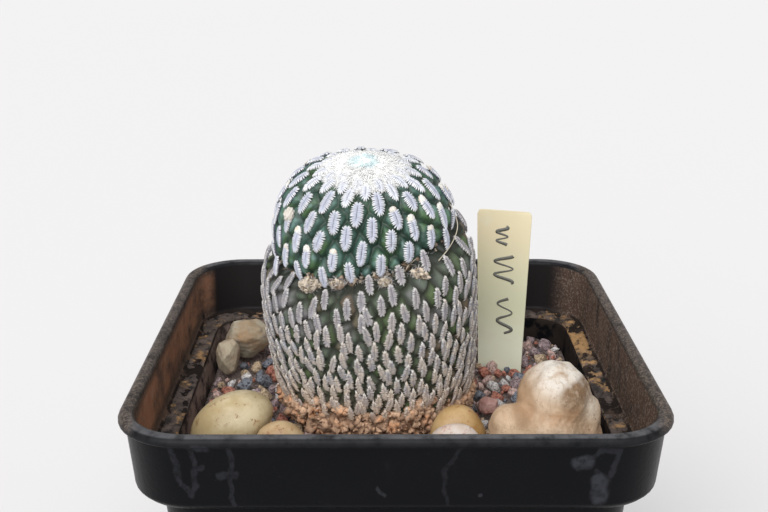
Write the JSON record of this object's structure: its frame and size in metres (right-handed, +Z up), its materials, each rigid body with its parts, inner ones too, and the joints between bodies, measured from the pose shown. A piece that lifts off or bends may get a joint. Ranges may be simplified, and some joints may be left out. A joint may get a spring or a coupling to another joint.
{
  "type": "potted cactus",
  "caption": "Small barrel-shaped cactus with white comb-like spines and a felted crown, in a square black nursery pot with gravel, stones and a plant label.",
  "frame": {"origin": "middle of the pot's underside, at the level of its foot", "axes": "+Z up along the plant, +X to the right and -Y towards the viewer when the label stands behind the plant's right side"},
  "size_m": [0.07, 0.07, 0.0929],
  "materials": {
    "black_plastic": "satin",
    "soil": "matte",
    "gravel": "matte",
    "cork": "matte",
    "stem_green": "satin",
    "white_wool": "matte",
    "dried_flower": "matte",
    "label_plastic": "matte",
    "tan_stone": "matte",
    "cream_stone": "satin",
    "yellow_stone": "satin",
    "pink_stone": "matte",
    "grey_stone": "matte",
    "orange_stone": "matte"
  },
  "bodies": {
    "root": {"pot": "black_plastic", "potting_soil": "soil", "top_gravel": "gravel", "corky_base_and_root": "cork", "stem_with_spine_combs": "stem_green", "white_crown": "white_wool", "dried_flower_left": "dried_flower", "dried_flower_middle_left": "dried_flower", "dried_flower_middle": "dried_flower", "dried_flower_right": "dried_flower", "plant_label": "label_plastic", "knobby_stone": "tan_stone", "cream_pebble_large": "cream_stone", "cream_pebble_small": "cream_stone", "yellow_pebble": "yellow_stone", "pale_pebble": "cream_stone", "pink_pebble": "pink_stone", "back_stone_pale": "grey_stone", "back_stone_orange": "orange_stone", "back_stone_tan": "tan_stone"}
  },
  "joints": []
}
